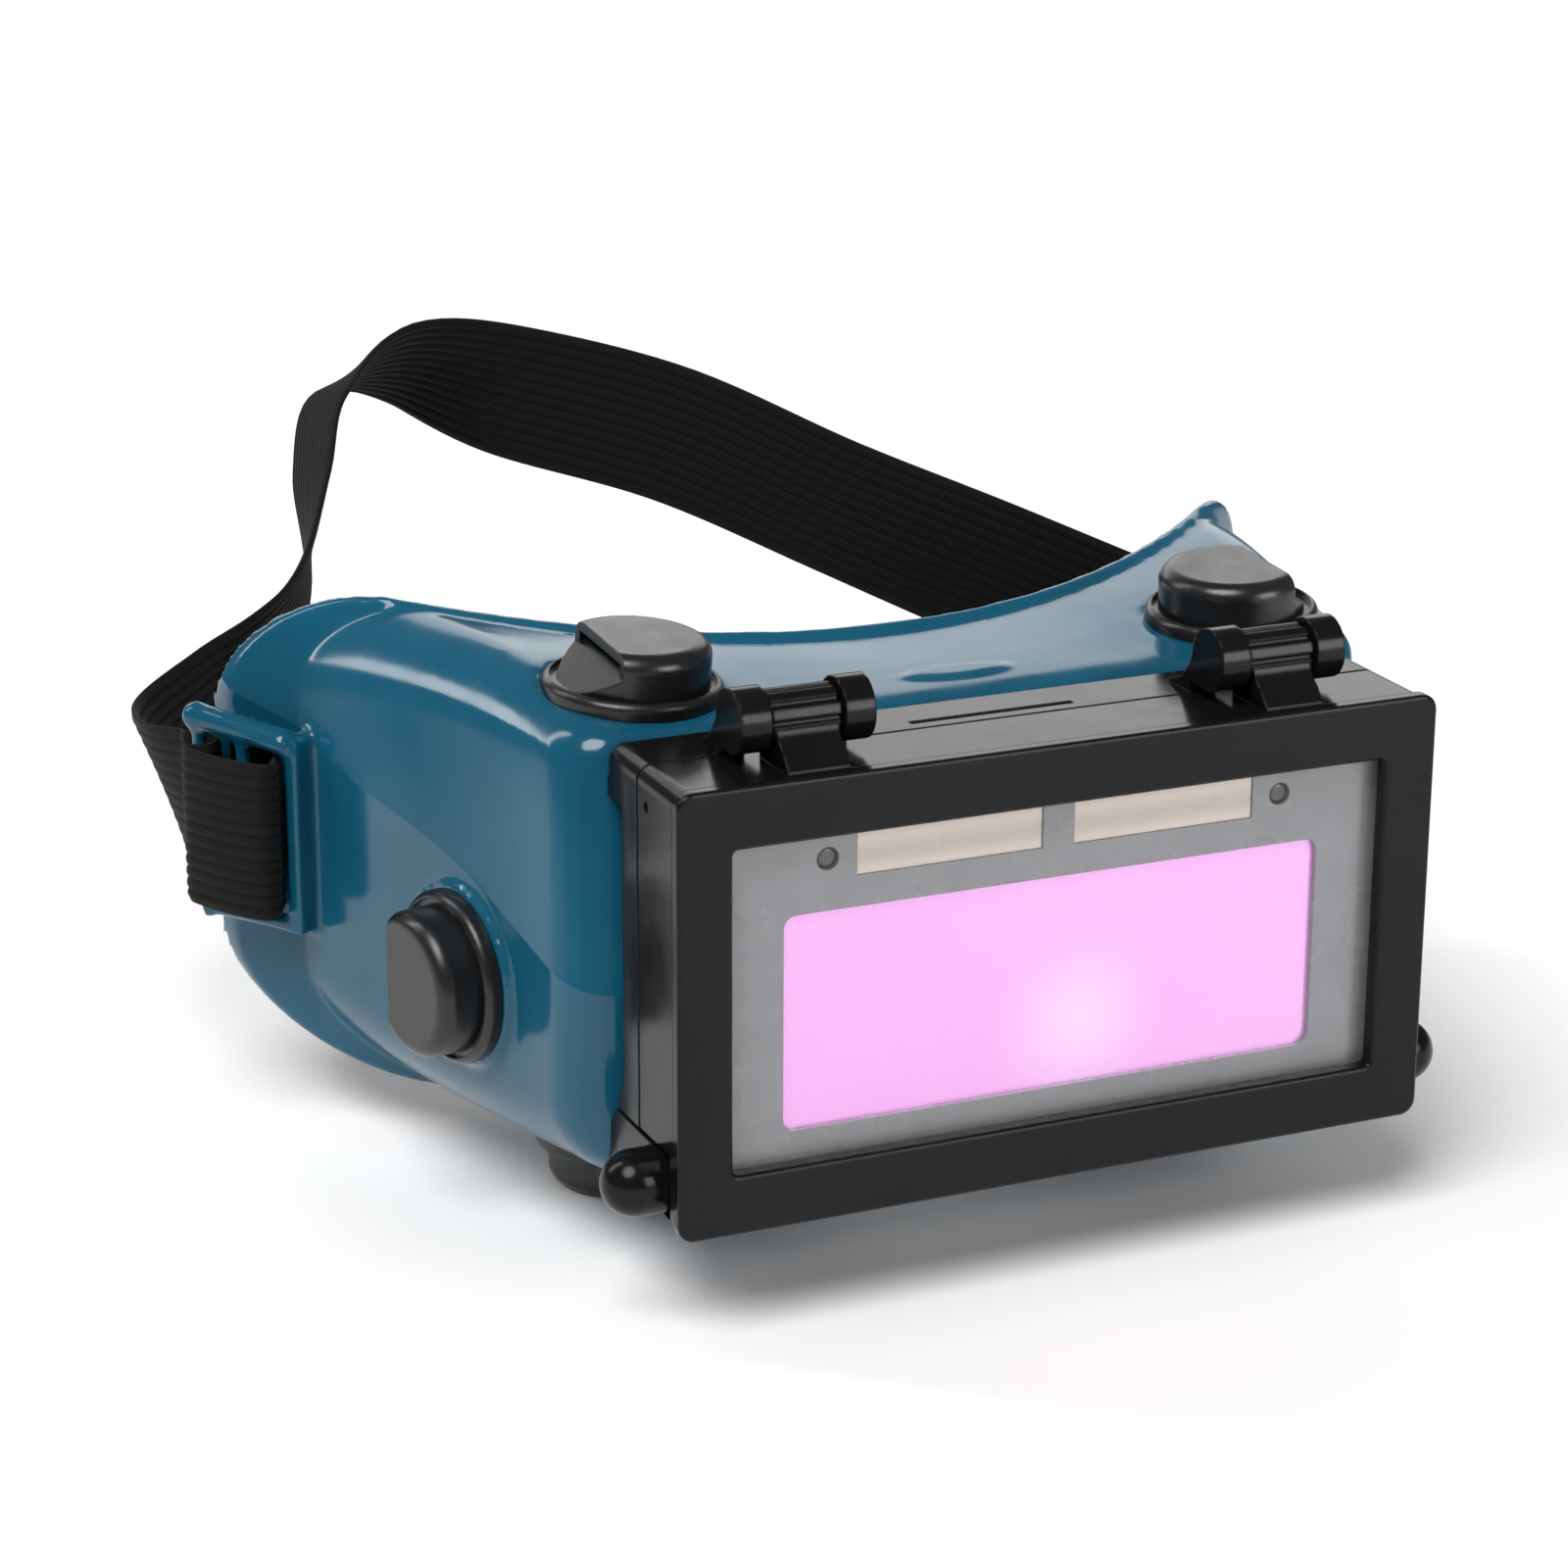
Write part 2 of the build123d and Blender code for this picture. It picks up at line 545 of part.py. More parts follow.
def strap_stations():
    """Centre and across-direction of the strap from its left tail to its right tail."""
    thread = [on_loop(along, out) for along, out in STRAP_THREAD]
    left = [((-x, y, LOOP_Z), (0.0, 0.0, 1.0)) for x, y in thread]
    right = [((x, y, LOOP_Z), (0.0, 0.0, 1.0)) for x, y in reversed(thread)]
    return left + STRAP_RUN + right


def smoothed(rows, steps):
    """Points of a Catmull-Rom curve through rows of numbers, evenly stepped between them."""
    points = []
    for i in range(len(rows) - 1):
        a, b, c, d = (rows[max(i - 1, 0)], rows[i], rows[i + 1], rows[min(i + 2, len(rows) - 1)])
        for k in range(steps):
            t = k / steps
            points.append([
                q + 0.5 * t * ((r - p) + t * ((2 * p - 5 * q + 4 * r - s) + t * (3 * q - p - 3 * r + s)))
                for p, q, r, s in zip(a, b, c, d)])
    return points + [rows[-1]]


def make_head_strap():
    rows = [(*centre, *across) for centre, across in strap_stations()]
    path = smoothed(rows, 2)
    sections = []
    length = 0.0
    for i, row in enumerate(path):
        centre = Vector(*row[:3])
        ahead = Vector(*path[min(i + 1, len(path) - 1)][:3])
        behind = Vector(*path[max(i - 1, 0)][:3])
        length += (centre - behind).length
        plane = Plane(origin=centre, x_dir=Vector(*row[3:]), z_dir=ahead - behind)
        sections.append(plane * Rectangle(STRAP_W, STRAP_T))
    print(f"strap length {length:.0f} mm")
    return loft(sections, ruled=True)


# ---------------------------------------------------------------- all parts

def all_parts():
    parts = {
        "flip_frame": make_flip_frame(),
        "cover_lens": make_cover_lens(),
        "filter_housing": make_filter_housing(),
        "interference_filter": make_interference_filter(),
        "lcd_shutter": make_lcd_shutter(),
        "control_board": make_control_board(),
        "filter_retainer": make_filter_retainer(),
        "base_frame": make_base_frame(),
        "lens_retainer": make_lens_retainer(),
        "clear_lens": make_clear_lens(),
        "lens_gasket": make_lens_gasket(),
        "clamp_ring": make_clamp_ring(),
        "face_mask": make_face_mask(),
        "head_strap": make_head_strap(),
    }
    for name, side in both_sides():
        parts[f"solar_cell_{name}"] = make_solar_cell(side)
        parts[f"light_sensor_{name}"] = make_light_sensor(side)
        parts[f"button_battery_{name}"] = make_button_battery(side)
        parts[f"hinge_pin_{name}"] = make_hinge_pin(side)
        parts[f"latch_tab_{name}"] = make_latch_tab(side)
        for row in VENTS:
            parts[f"vent_hood_{row}_{name}"] = make_vent_hood(row, side)
            parts[f"vent_ring_{row}_{name}"] = make_vent_ring(row, side)
    return parts


os.makedirs("parts", exist_ok=True)
for node, shape in all_parts().items():
    export_step(Pos(*STAND) * shape, f"parts/{node}.step")
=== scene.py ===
import math

import bmesh
import bpy
import numpy as np
from mathutils import Matrix, Vector


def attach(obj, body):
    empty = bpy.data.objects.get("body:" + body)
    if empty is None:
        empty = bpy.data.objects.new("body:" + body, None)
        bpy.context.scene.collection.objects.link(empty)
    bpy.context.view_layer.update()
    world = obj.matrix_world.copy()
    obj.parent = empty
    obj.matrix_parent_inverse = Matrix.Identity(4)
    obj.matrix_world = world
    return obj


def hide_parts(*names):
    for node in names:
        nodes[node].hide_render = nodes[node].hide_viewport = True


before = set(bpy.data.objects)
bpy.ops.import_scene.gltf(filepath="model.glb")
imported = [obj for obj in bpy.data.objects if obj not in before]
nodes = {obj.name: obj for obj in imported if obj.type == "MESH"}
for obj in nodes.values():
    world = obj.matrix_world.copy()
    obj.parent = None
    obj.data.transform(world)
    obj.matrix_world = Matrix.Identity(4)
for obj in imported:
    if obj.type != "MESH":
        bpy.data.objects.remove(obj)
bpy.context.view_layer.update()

# The CAD is drawn from the centre of the flip frame's front face; this moves it to the row frame.
STAND = Vector((0.0, -0.097, 0.0492))


def at(x, y, z):
    """A point in millimetres from the centre of the front face, in the row frame."""
    return Vector((x, y, z)) / 1000 + STAND


# ---------------------------------------------------------------- camera, lights, floor

# The camera's place in millimetres from the front face, and the directions of its picture's sides
CAMERA_PLACE = (-256.86, -482.43, 208.68)
CAMERA_RIGHT = (0.91558, -0.40211, 0.00364)
CAMERA_UP = (0.12403, 0.29100, 0.94865)
CAMERA_LENS = 93.77


def make_camera():
    data = bpy.data.cameras.new("camera")
    data.lens = CAMERA_LENS
    data.sensor_width = 36
    data.clip_start = 0.01
    data.clip_end = 50
    camera = bpy.data.objects.new("camera", data)
    bpy.context.scene.collection.objects.link(camera)
    right = Vector(CAMERA_RIGHT)
    up = Vector(CAMERA_UP)
    back = right.cross(up)
    turn = Matrix((right, up, back)).transposed().to_4x4()
    camera.matrix_world = Matrix.Translation(at(*CAMERA_PLACE)) @ turn
    bpy.context.scene.camera = camera


def area_light(name, where, aim, size, power, size_y=None):
    data = bpy.data.lights.new(name, "AREA")
    data.shape = "RECTANGLE"
    data.size = size
    data.size_y = size_y or size
    data.energy = power
    light = bpy.data.objects.new(name, data)
    bpy.context.scene.collection.objects.link(light)
    light.location = where
    light.rotation_euler = (Vector(aim) - Vector(where)).to_track_quat("-Z", "Y").to_euler()


def make_stage():
    world = bpy.data.worlds.new("studio")
    world.use_nodes = True
    tree = world.node_tree
    room = tree.nodes["Background"]
    room.inputs["Color"].default_value = (1, 1, 1, 1)
    room.inputs["Strength"].default_value = 0.14
    # the camera sees a plain white backdrop, and everything else a dim room
    backdrop = add(tree, "ShaderNodeBackground", Color=(1, 1, 1, 1), Strength=1.0)
    rays = tree.nodes.new("ShaderNodeLightPath")
    mix = tree.nodes.new("ShaderNodeMixShader")
    tree.links.new(rays.outputs["Is Camera Ray"], mix.inputs[0])
    tree.links.new(room.outputs[0], mix.inputs[1])
    tree.links.new(backdrop.outputs[0], mix.inputs[2])
    tree.links.new(mix.outputs[0], tree.nodes["World Output"].inputs["Surface"])
    bpy.context.scene.world = world
    middle = (0, -0.02, 0.06)
    sun = bpy.data.lights.new("sky_box", "SUN")
    sun.energy = 2.7
    sun.angle = math.radians(35)
    sky = bpy.data.objects.new("sky_box", sun)
    bpy.context.scene.collection.objects.link(sky)
    sky.rotation_euler = Vector((0.42, 0.34, -0.84)).to_track_quat("-Z", "Y").to_euler()
    area_light("back_card", (0.35, 1.35, 0.62), middle, 1.8, 6, size_y=0.6)
    area_light("left_strip", (-0.75, 0.55, 0.75), middle, 0.16, 3, size_y=0.8)
    area_light("front_fill", (0.7, -1.3, 0.5), middle, 0.7, 10.5)
    bm = bmesh.new()
    bmesh.ops.create_grid(bm, x_segments=1, y_segments=1, size=6)
    mesh = bpy.data.meshes.new("floor")
    bm.to_mesh(mesh)
    bm.free()
    floor = bpy.data.objects.new("floor", mesh)
    bpy.context.scene.collection.objects.link(floor)
    floor.location.z = -0.0002
    mat, bsdf, _ = material("floor_pale", (0.93, 0.93, 0.93), 0.6)
    bsdf.inputs["Specular IOR Level"].default_value = 0.2
    mesh.materials.append(mat)
    view = bpy.context.scene.view_settings
    view.view_transform = "Standard"
    view.look = "None"
    view.exposure = 0.0


# ---------------------------------------------------------------- materials

# The painted reflection in the window's coating: a pale spot, in the row frame
REFLECTION_SPOT_CENTRE = (0.0045, -0.093, 0.0385)
REFLECTION_SPOT_RADIUS = 0.014

# The clear plates' mirror: its share seen square on, and how steeply it grows at a slant
PLATE_SQUARE_ON = 0.022
PLATE_POWER = 5.0

# The crease shaded into the mask's walls, in the row frame: its height at Y = 0, its fall per
# metre forwards, how far it wavers from end to end, and how steeply the wall leans in above it
CREASE_HEIGHT = 0.0645
CREASE_FALL = 0.28
CREASE_WAVER = 0.010
WALL_LEAN = 0.24


def material(name, colour, roughness):
    mat = bpy.data.materials.new(name)
    mat.use_nodes = True
    bsdf = mat.node_tree.nodes["Principled BSDF"]
    bsdf.inputs["Base Color"].default_value = (*colour, 1)
    bsdf.inputs["Roughness"].default_value = roughness
    return mat, bsdf, mat.node_tree


def add(tree, kind, **values):
    node = tree.nodes.new(kind)
    for key, value in values.items():
        if key in node.inputs:
            node.inputs[key].default_value = value
        else:
            setattr(node, key, value)
    return node


def place(tree, scale=(1, 1, 1), source="Object"):
    coords = tree.nodes.new("ShaderNodeTexCoord")
    mapping = tree.nodes.new("ShaderNodeMapping")
    mapping.inputs["Scale"].default_value = scale
    tree.links.new(coords.outputs[source], mapping.inputs["Vector"])
    return mapping.outputs["Vector"]


def noise(tree, scale, detail=3.0, stretch=(1, 1, 1)):
    node = add(tree, "ShaderNodeTexNoise", Scale=scale, Detail=detail)
    tree.links.new(place(tree, stretch), node.inputs["Vector"])
    return node.outputs["Fac"]


def ranged(tree, value, low, high, from_low=0.3, from_high=0.7):
    node = tree.nodes.new("ShaderNodeMapRange")
    node.inputs["From Min"].default_value = from_low
    node.inputs["From Max"].default_value = from_high
    node.inputs["To Min"].default_value = low
    node.inputs["To Max"].default_value = high
    tree.links.new(value, node.inputs["Value"])
    return node.outputs["Result"]


def maths(tree, operation, a, b):
    """One arithmetic node over two values, each a number or another node's output."""
    node = tree.nodes.new("ShaderNodeMath")
    node.operation = operation
    for socket, value in zip(node.inputs, (a, b)):
        if isinstance(value, float):
            socket.default_value = value
        else:
            tree.links.new(value, socket)
    return node.outputs[0]


def tinted(tree, bsdf, value, dark, light):
    """Base colour that wanders between two colours with a texture."""
    ramp = tree.nodes.new("ShaderNodeMix")
    ramp.data_type = "RGBA"
    ramp.inputs[6].default_value = (*dark, 1)
    ramp.inputs[7].default_value = (*light, 1)
    tree.links.new(value, ramp.inputs[0])
    tree.links.new(ramp.outputs[2], bsdf.inputs["Base Color"])
    return ramp.outputs[2]


def bumped(tree, bsdf, value, strength, distance, edge=None):
    bump = tree.nodes.new("ShaderNodeBump")
    bump.inputs["Strength"].default_value = strength
    bump.inputs["Distance"].default_value = distance
    tree.links.new(value, bump.inputs["Height"])
    if edge:
        bevel = add(tree, "ShaderNodeBevel", samples=4)
        bevel.inputs["Radius"].default_value = edge
        tree.links.new(bevel.outputs["Normal"], bump.inputs["Normal"])
    tree.links.new(bump.outputs["Normal"], bsdf.inputs["Normal"])
    return bump


def moulded(name, dark, light, rough, grain=900, bump=0.06, edge=0.0005):
    """Moulded plastic: faint flow in the colour, uneven gloss, fine grain and soft edges."""
    mat, bsdf, tree = material(name, light, rough[0])
    flow = ranged(tree, noise(tree, 45, 4.0), 0, 1)
    tinted(tree, bsdf, flow, dark, light)
    tree.links.new(ranged(tree, noise(tree, 140, 5.0), *rough), bsdf.inputs["Roughness"])
    bumped(tree, bsdf, noise(tree, grain, 2.0), bump, 0.0002, edge)
    return mat, bsdf


def clear_plate(name, tint, low=0.03):
    """Clear polycarbonate sheet that lets light straight through and mirrors more at a slant.

    The mirror's share is the same on both faces, since the light isn't bent between them.
    """
    mat = bpy.data.materials.new(name)
    mat.use_nodes = True
    tree = mat.node_tree
    tree.nodes.clear()
    out = tree.nodes.new("ShaderNodeOutputMaterial")
    through = add(tree, "ShaderNodeBsdfTransparent", Color=(*tint, 1))
    mirror = add(tree, "ShaderNodeBsdfGlossy", Roughness=low)
    mirror.inputs["Color"].default_value = (0.9, 0.9, 0.9, 1)
    slant = add(tree, "ShaderNodeLayerWeight", Blend=0.5).outputs["Facing"]
    steep = maths(tree, "POWER", slant, PLATE_POWER)
    grown = maths(tree, "MULTIPLY", steep, 1 - PLATE_SQUARE_ON)
    share = maths(tree, "ADD", grown, PLATE_SQUARE_ON)
    mix = tree.nodes.new("ShaderNodeMixShader")
    tree.links.new(share, mix.inputs[0])
    tree.links.new(through.outputs[0], mix.inputs[1])
    tree.links.new(mirror.outputs[0], mix.inputs[2])
    tree.links.new(mix.outputs[0], out.inputs["Surface"])
    return mat


def leaning_wall(tree):
    """Shading that leans the soft walls inwards above a wavering crease. The mesh isn't moved."""
    parts = tree.nodes.new("ShaderNodeSeparateXYZ")
    tree.links.new(place(tree), parts.inputs[0])
    fall = maths(tree, "MULTIPLY", parts.outputs["Y"], CREASE_FALL)
    crease = maths(tree, "ADD", fall, CREASE_HEIGHT)
    waver = maths(tree, "MULTIPLY", noise(tree, 17, 1.0), CREASE_WAVER)
    height = maths(tree, "SUBTRACT", parts.outputs["Z"], crease)
    above = maths(tree, "SUBTRACT", maths(tree, "ADD", height, waver), CREASE_WAVER / 2)
    lean = maths(tree, "MULTIPLY", maths(tree, "MAXIMUM", above, 0.0), -WALL_LEAN)
    bump = add(tree, "ShaderNodeBump", Strength=1.0, Distance=1.0)
    tree.links.new(lean, bump.inputs["Height"])
    return bump.outputs["Normal"]


def vinyl():
    mat, bsdf, tree = material("mask_vinyl", (0.007, 0.085, 0.150), 0.16)
    cloud = ranged(tree, noise(tree, 28, 3.0), 0, 1)
    tinted(tree, bsdf, cloud, (0.0040, 0.074, 0.130), (0.0062, 0.095, 0.164))
    tree.links.new(ranged(tree, noise(tree, 90, 4.0), 0.10, 0.19), bsdf.inputs["Roughness"])
    bsdf.inputs["Subsurface Weight"].default_value = 0.18
    bsdf.inputs["Subsurface Radius"].default_value = (0.15, 0.8, 1.0)
    bsdf.inputs["Subsurface Scale"].default_value = 0.003
    bsdf.inputs["Specular IOR Level"].default_value = 0.42
    fine = bumped(tree, bsdf, noise(tree, 45, 1.0), 0.08, 0.0006)
    tree.links.new(leaning_wall(tree), fine.inputs["Normal"])
    return mat


def webbing():
    """Woven elastic: threads along and across the band, over the ribs of its mesh."""
    mat, bsdf, tree = material("strap_elastic", (0.012, 0.011, 0.010), 0.8)
    weft = add(tree, "ShaderNodeTexWave", Scale=9.0, Distortion=2.5, bands_direction="X")
    tree.links.new(place(tree, source="UV"), weft.inputs["Vector"])
    warp = add(tree, "ShaderNodeTexWave", Scale=8.5, Distortion=0.8, bands_direction="Y")
    tree.links.new(place(tree, source="UV"), warp.inputs["Vector"])
    both = maths(tree, "MULTIPLY", weft.outputs["Fac"], warp.outputs["Fac"])
    tinted(tree, bsdf, both, (0.0018, 0.0017, 0.0016), (0.0125, 0.0115, 0.0100))
    bsdf.inputs["Sheen Weight"].default_value = 0.05
    bsdf.inputs["Sheen Roughness"].default_value = 0.5
    bsdf.inputs["Specular IOR Level"].default_value = 0.15
    bumped(tree, bsdf, both, 0.35, 0.0002)
    return mat


def painted_reflection_spot(tree, bsdf, colour, centre, radius):
    """A painted reflection: a pale, soft-edged spot painted into a coating's colour, in the row
    frame.
    """
    away = tree.nodes.new("ShaderNodeVectorMath")
    away.operation = "DISTANCE"
    away.inputs[1].default_value = centre
    tree.links.new(place(tree), away.inputs[0])
    near = ranged(tree, away.outputs["Value"], 0.5, 0.0, 0.0, radius)
    pale = tree.nodes.new("ShaderNodeMix")
    pale.data_type = "RGBA"
    pale.inputs[7].default_value = (1.0, 0.86, 0.99, 1)
    tree.links.new(near, pale.inputs[0])
    tree.links.new(colour, pale.inputs[6])
    tree.links.new(pale.outputs[2], bsdf.inputs["Base Color"])


def coated_filter():
    """Interference coating: mirrors pink, a little cloudy, with a painted reflection as a pale
    spot.
    """
    mat, bsdf, tree = material("filter_coating", (0.97, 0.55, 0.95), 0.2)
    clouds = ranged(tree, noise(tree, 20, 2.0), 0, 1)
    pink = tinted(tree, bsdf, clouds, (0.90, 0.445, 0.87), (0.93, 0.48, 0.90))
    # paints a reflection into the pink as a pale spot
    painted_reflection_spot(tree, bsdf, pink, REFLECTION_SPOT_CENTRE, REFLECTION_SPOT_RADIUS)
    bsdf.inputs["Metallic"].default_value = 0.5
    tree.links.new(ranged(tree, noise(tree, 60, 2.0), 0.20, 0.27), bsdf.inputs["Roughness"])
    return mat


def printed_shell():
    """Cartridge shell, all over in the glossy grey of its printed face."""
    mat, bsdf, tree = material("cartridge_print", (0.28, 0.28, 0.295), 0.3)
    specks = ranged(tree, noise(tree, 200, 4.0), 0, 1)
    tinted(tree, bsdf, specks, (0.215, 0.213, 0.225), (0.24, 0.238, 0.25))
    tree.links.new(ranged(tree, noise(tree, 90, 3.0), 0.22, 0.32), bsdf.inputs["Roughness"])
    bumped(tree, bsdf, noise(tree, 2500, 2.0), 0.04, 0.0001, 0.0002)
    return mat


def solar_cell():
    """Thin-film cell: beige with soft lengthwise bands."""
    mat, bsdf, tree = material("solar_film", (0.55, 0.47, 0.39), 0.3)
    lines = add(tree, "ShaderNodeTexWave", Scale=55.0, Distortion=0.3, bands_direction="Z")
    tree.links.new(place(tree), lines.inputs["Vector"])
    tinted(tree, bsdf, lines.outputs["Fac"], (0.54, 0.46, 0.40), (0.67, 0.58, 0.51))
    tree.links.new(ranged(tree, noise(tree, 150, 3.0), 0.25, 0.4), bsdf.inputs["Roughness"])
    bumped(tree, bsdf, lines.outputs["Fac"], 0.05, 0.0001)
    return mat


def brushed_steel(name, axis):
    stretch = [600, 600, 600]
    stretch[axis] = 12
    mat, bsdf, tree = material(name, (0.62, 0.62, 0.61), 0.32)
    bsdf.inputs["Metallic"].default_value = 1.0
    streaks = noise(tree, 1.0, 3.0, tuple(stretch))
    tinted(tree, bsdf, streaks, (0.52, 0.52, 0.51), (0.70, 0.70, 0.69))
    tree.links.new(ranged(tree, streaks, 0.22, 0.42), bsdf.inputs["Roughness"])
    bumped(tree, bsdf, streaks, 0.15, 0.0001, 0.0002)
    return mat


def paint(mat, *names):
    for name in names:
        mesh = nodes[name].data
        mesh.materials.clear()
        mesh.materials.append(mat)


def paint_nodes():
    gloss, bsdf = moulded("frame_gloss", (0.0045, 0.004, 0.004), (0.007, 0.0065, 0.0065),
                          (0.13, 0.21), bump=0.03)
    bsdf.inputs["Specular IOR Level"].default_value = 0.2
    paint(gloss, "flip_frame", "base_frame", "latch_tab_left", "latch_tab_right")
    satin, _ = moulded("vent_satin", (0.007, 0.007, 0.0075), (0.012, 0.012, 0.0125), (0.24, 0.34),
                       grain=1400, bump=0.08)
    inner, _ = moulded("inner_matt", (0.02, 0.02, 0.02), (0.03, 0.03, 0.03), (0.5, 0.65), bump=0.12)
    rubber, _ = moulded("gasket_rubber", (0.016, 0.016, 0.016), (0.026, 0.026, 0.026), (0.6, 0.75),
                        bump=0.15)
    for side in ("left", "right"):
        for row in ("top", "side", "bottom"):
            paint(satin, f"vent_hood_{row}_{side}")
            paint(inner, f"vent_ring_{row}_{side}")
    paint(inner, "filter_retainer", "lens_retainer", "clamp_ring")
    paint(rubber, "lens_gasket")
    paint(clear_plate("cover_clear", (0.985, 0.99, 0.99)), "cover_lens")
    paint(clear_plate("inner_clear", (0.93, 0.96, 0.945)), "clear_lens")
    paint(coated_filter(), "interference_filter")
    paint(printed_shell(), "filter_housing")
    paint(solar_cell(), "solar_cell_left", "solar_cell_right")
    lcd, _ = moulded("shutter_glass", (0.01, 0.022, 0.012), (0.016, 0.032, 0.018), (0.05, 0.1),
                     bump=0.01)
    paint(lcd, "lcd_shutter")
    sensor, _ = moulded("sensor_dark", (0.05, 0.05, 0.055), (0.07, 0.07, 0.078), (0.12, 0.2),
                        bump=0.02, edge=0.0002)
    paint(sensor, "light_sensor_left", "light_sensor_right")
    board, _ = moulded("board_green", (0.006, 0.06, 0.02), (0.012, 0.10, 0.035), (0.3, 0.45),
                       bump=0.2)
    paint(board, "control_board")
    paint(brushed_steel("battery_steel", 0), "button_battery_left", "button_battery_right")
    paint(brushed_steel("pin_steel", 0), "hinge_pin_left", "hinge_pin_right")


# ---------------------------------------------------------------- face mask

def applied(obj):
    """The object's mesh with its modifiers applied."""
    bpy.context.view_layer.update()
    graph = bpy.context.evaluated_depsgraph_get()
    mesh = bpy.data.meshes.new_from_object(obj.evaluated_get(graph))
    obj.modifiers.clear()
    old = obj.data
    obj.data = mesh
    bpy.data.meshes.remove(old)
    return mesh


def linked(name, mesh):
    obj = bpy.data.objects.new(name, mesh)
    bpy.context.scene.collection.objects.link(obj)
    return obj


# The mask's shell is melted together on voxels of this size, in metres, then smoothed
VINYL_VOXEL = 0.0005
VINYL_STEPS = 26

# The raised oval: its middle in millimetres from the front face, and its half sizes and height
# in metres
PAD_MIDDLE = (0.0, 37.2, 34.0)
PAD_HALF_X = 0.0085
PAD_HALF_Y = 0.0034
PAD_RISE = 0.0006


def raise_pad(mesh):
    """The small raised oval moulded on the mask's top, just behind the frame."""
    middle = at(*PAD_MIDDLE)
    for vertex in mesh.vertices:
        away = vertex.co - middle
        across = math.hypot(away.x / PAD_HALF_X, away.y / PAD_HALF_Y)
        if across < 1.4 and away.z > -0.003 and vertex.normal.z > 0.5:
            vertex.co.z += PAD_RISE * math.exp(-across ** 6)


def make_mask():
    """The soft moulding: the CAD's shell with its edges and joints melted together."""
    mask = linked("mask_vinyl_shell", nodes["face_mask"].data.copy())
    remesh = mask.modifiers.new("remesh", "REMESH")
    remesh.mode = "VOXEL"
    remesh.voxel_size = VINYL_VOXEL
    remesh.adaptivity = 0.0
    smooth = mask.modifiers.new("smooth", "SMOOTH")
    smooth.factor = 0.5
    smooth.iterations = VINYL_STEPS
    mesh = applied(mask)
    raise_pad(mesh)
    mesh.shade_smooth()
    mesh.materials.clear()
    mesh.materials.append(vinyl())
    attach(mask, "mask")
    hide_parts("face_mask")


# ---------------------------------------------------------------- strap

# The strap's route, the same points as in the CAD, in millimetres from the centre of the front face
STRAP_W = 25.4
LOOP_Z = 0.3
LOOP_FRONT = (86.0, 95.0)
LOOP_BACK = (95.5, 110.5)
STRAP_RUN = [
    ((-95.6, 117.0, 0.0), (-0.05, 0.0, 1.0)),
    ((-96.0, 128.0, -1.0), (-0.30, 0.05, 0.95)),
    ((-91.5, 143.0, -1.5), (-0.40, 0.10, 0.90)),
    ((-80.0, 157.0, 1.0), (-0.35, -0.15, 0.92)),
    ((-68.0, 166.0, 7.0), (-0.37, -0.50, 0.78)),
    ((-59.0, 172.0, 19.0), (-0.33, -0.86, 0.38)),
    ((-55.5, 177.0, 36.0), (-0.06, -0.97, 0.23)),
    ((-50.5, 181.5, 49.0), (-0.05, -0.97, 0.25)),
    ((-37.0, 181.5, 53.0), (0.03, -0.71, 0.70)),
    ((-18.0, 176.0, 47.5), (0.07, -0.25, 0.97)),
    ((7.0, 165.5, 40.0), (0.06, -0.15, 0.98)),
    ((32.0, 151.0, 28.0), (0.15, -0.24, 0.96)),
    ((56.0, 138.5, 17.0), (0.20, -0.10, 0.97)),
    ((78.0, 127.0, 7.0), (0.15, -0.03, 0.98)),
    ((89.5, 121.4, 2.5), (0.10, 0.0, 0.99)),
    ((95.6, 117.0, 0.0), (0.05, 0.0, 1.0)),
]
STRAP_THREAD = [
    (6.0, -4.2), (3.0, -4.0), (0.0, -3.7), (-3.8, -3.1), (-5.9, -1.2), (-6.9, 0.9), (-8.2, 2.2),
    (-7.4, 3.9), (-4.0, 4.7), (0.0, 4.9), (4.0, 4.7), (7.6, 4.2), (9.1, 2.9), (6.9, 1.4),
    (6.5, -0.4), (7.0, -2.0), (8.8, -2.95), (12.0, -3.2),
]
RIBS = 13
RIB_POINTS = 6
STEPS = 9


def on_loop(along, out):
    """X and Y of a point given along and out from the middle of a strap loop."""
    turn = math.atan2(LOOP_BACK[1] - LOOP_FRONT[1], LOOP_BACK[0] - LOOP_FRONT[0])
    x = (LOOP_FRONT[0] + LOOP_BACK[0]) / 2 + along * math.cos(turn) + out * math.sin(turn)
    y = (LOOP_FRONT[1] + LOOP_BACK[1]) / 2 + along * math.sin(turn) - out * math.cos(turn)
    return x, y


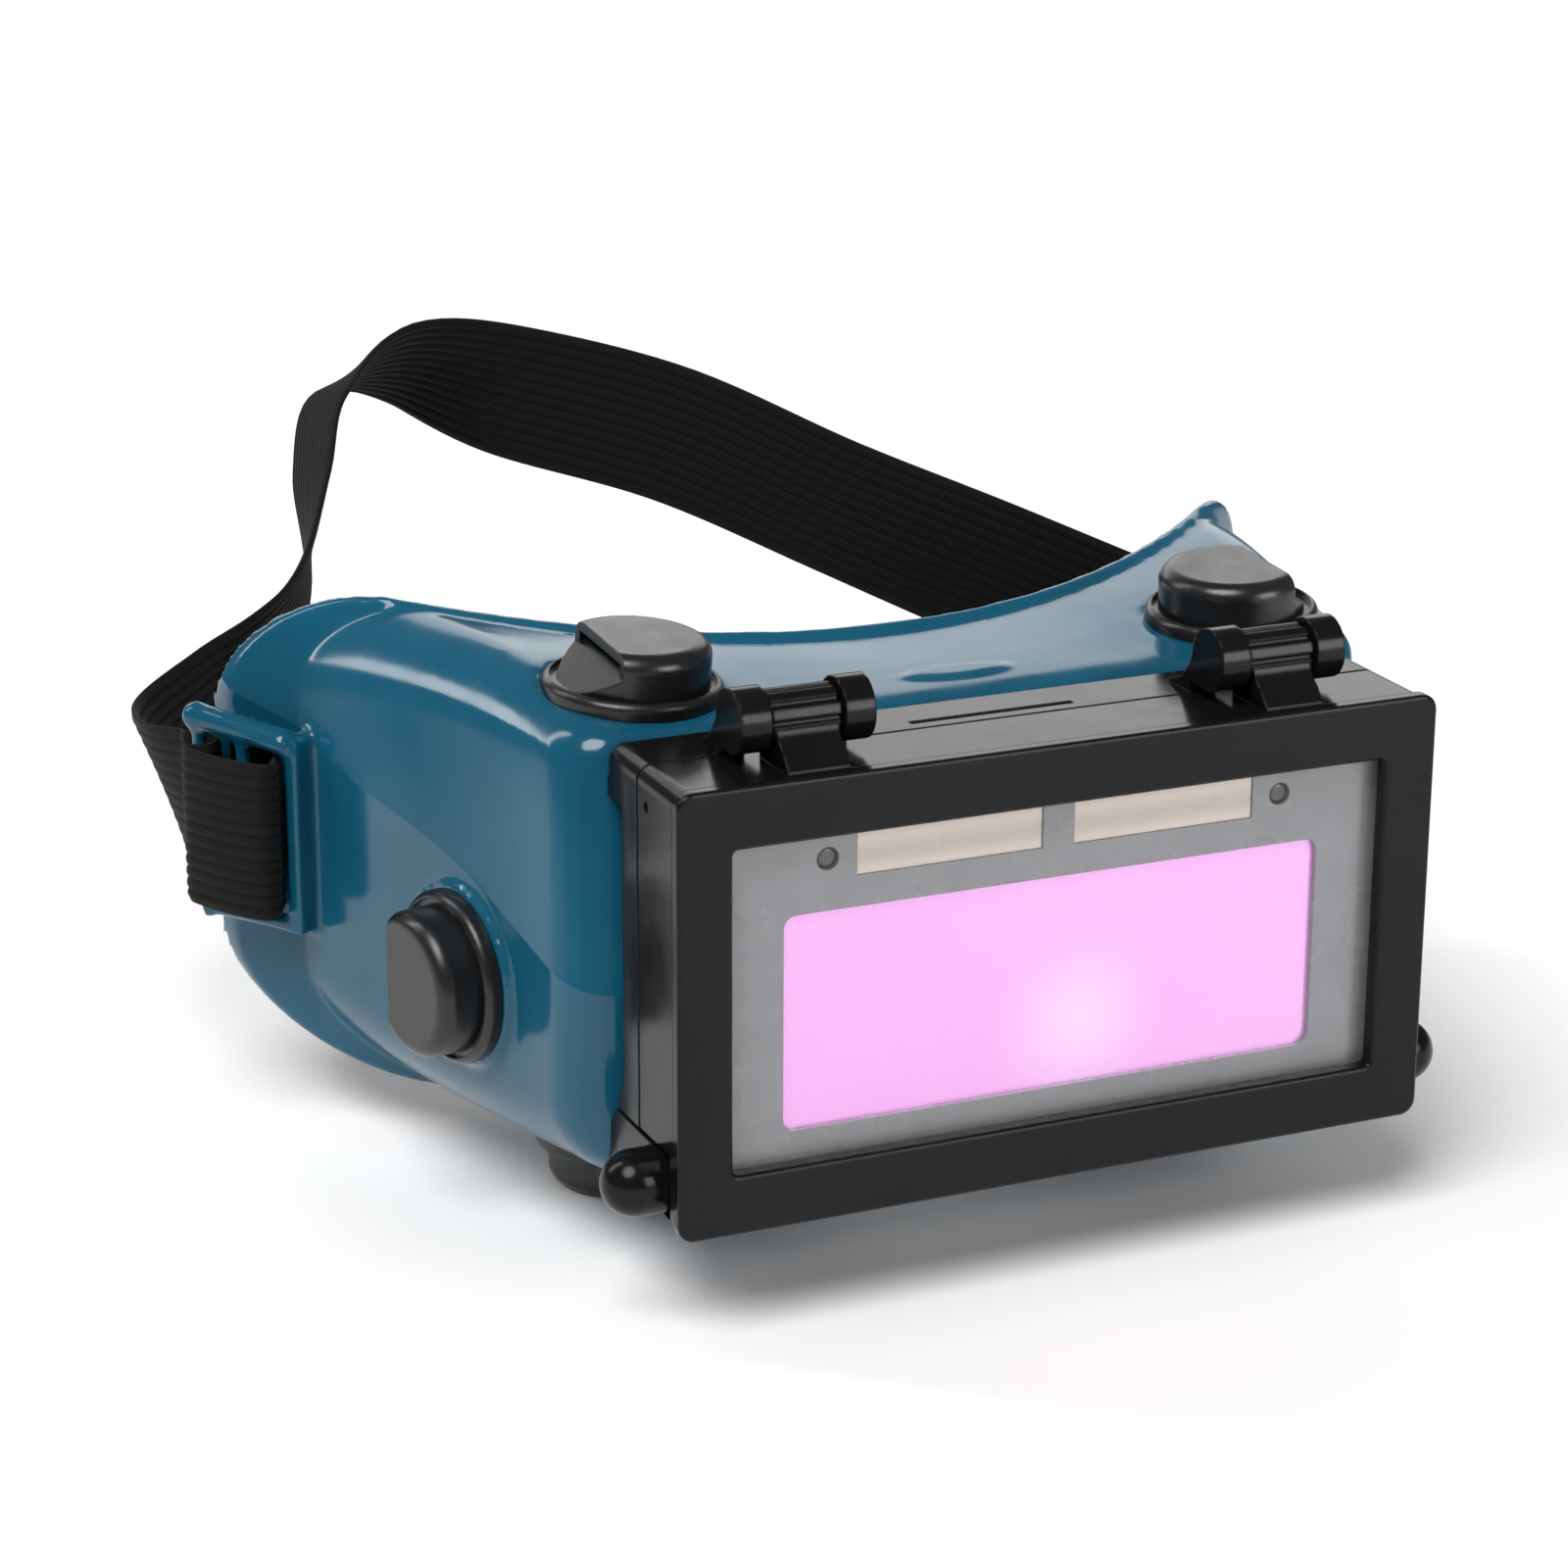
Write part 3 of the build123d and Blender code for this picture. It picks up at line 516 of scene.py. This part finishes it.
def strap_path():
    """Centres and across-directions, close together, along a Catmull-Rom curve."""
    thread = [on_loop(*p) for p in STRAP_THREAD]
    rows = [(-x, y, LOOP_Z, 0, 0, 1) for x, y in thread]
    rows += [(*centre, *across) for centre, across in STRAP_RUN]
    rows += [(x, y, LOOP_Z, 0, 0, 1) for x, y in reversed(thread)]
    rows = np.array(rows, float)
    padded = np.vstack([rows[:1], rows, rows[-1:]])
    points = []
    for a, b, c, d in zip(padded, padded[1:], padded[2:], padded[3:]):
        for k in range(STEPS):
            t = k / STEPS
            points.append(b + 0.5 * t * ((c - a) + t * ((2 * a - 5 * b + 4 * c - d)
                                                        + t * (3 * b - a - 3 * c + d))))
    points.append(rows[-1])
    return np.array(points)


def strap_section():
    """Ribbed outline across the band: (across, out) in millimetres, once round."""
    count = RIBS * RIB_POINTS
    # the band is thinnest between its ribs and along both edges
    upper = []
    for i in range(count + 1):
        across = -0.5 + i / count
        rib = abs(math.sin(math.pi * (across + 0.5) * RIBS))
        edge = min(1.0, (0.5 - abs(across)) * 22)
        thick = 0.24 + 0.36 * rib ** 0.6 * edge + 0.08 * edge
        upper.append((across * STRAP_W, thick))
    return upper + [(a, -t) for a, t in reversed(upper)]


def make_strap():
    path = strap_path()
    centres = path[:, :3]
    ahead = np.gradient(centres, axis=0)
    ahead /= np.linalg.norm(ahead, axis=1)[:, None]
    across = path[:, 3:] - (path[:, 3:] * ahead).sum(1)[:, None] * ahead
    across /= np.linalg.norm(across, axis=1)[:, None]
    out = np.cross(ahead, across)
    run = np.concatenate([[0], np.cumsum(np.linalg.norm(np.diff(centres, axis=0), axis=1))])
    section = strap_section()
    bm = bmesh.new()
    uv = bm.loops.layers.uv.new("band")
    rings = []
    for c, a, n in zip(centres, across, out):
        rings.append([bm.verts.new(at(*(c + a * u + n * t))) for u, t in section])
    size = len(section)
    for i in range(len(rings) - 1):
        for j in range(size):
            k = (j + 1) % size
            face = bm.faces.new((rings[i][j], rings[i][k], rings[i + 1][k], rings[i + 1][j]))
            corners = ((i, j), (i, k), (i + 1, k), (i + 1, j))
            for loop, (row, col) in zip(face.loops, corners):
                loop[uv].uv = (run[row] / 10, section[col][0] / 10)
    for ring in (rings[0], rings[-1]):
        bm.faces.new(ring)
    bmesh.ops.recalc_face_normals(bm, faces=bm.faces)
    mesh = bpy.data.meshes.new("strap_band")
    bm.to_mesh(mesh)
    bm.free()
    mesh.shade_smooth()
    strap = linked("strap_band", mesh)
    mesh.materials.append(webbing())
    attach(strap, "mask")
    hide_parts("head_strap")


make_camera()
make_stage()
paint_nodes()
make_mask()
make_strap()
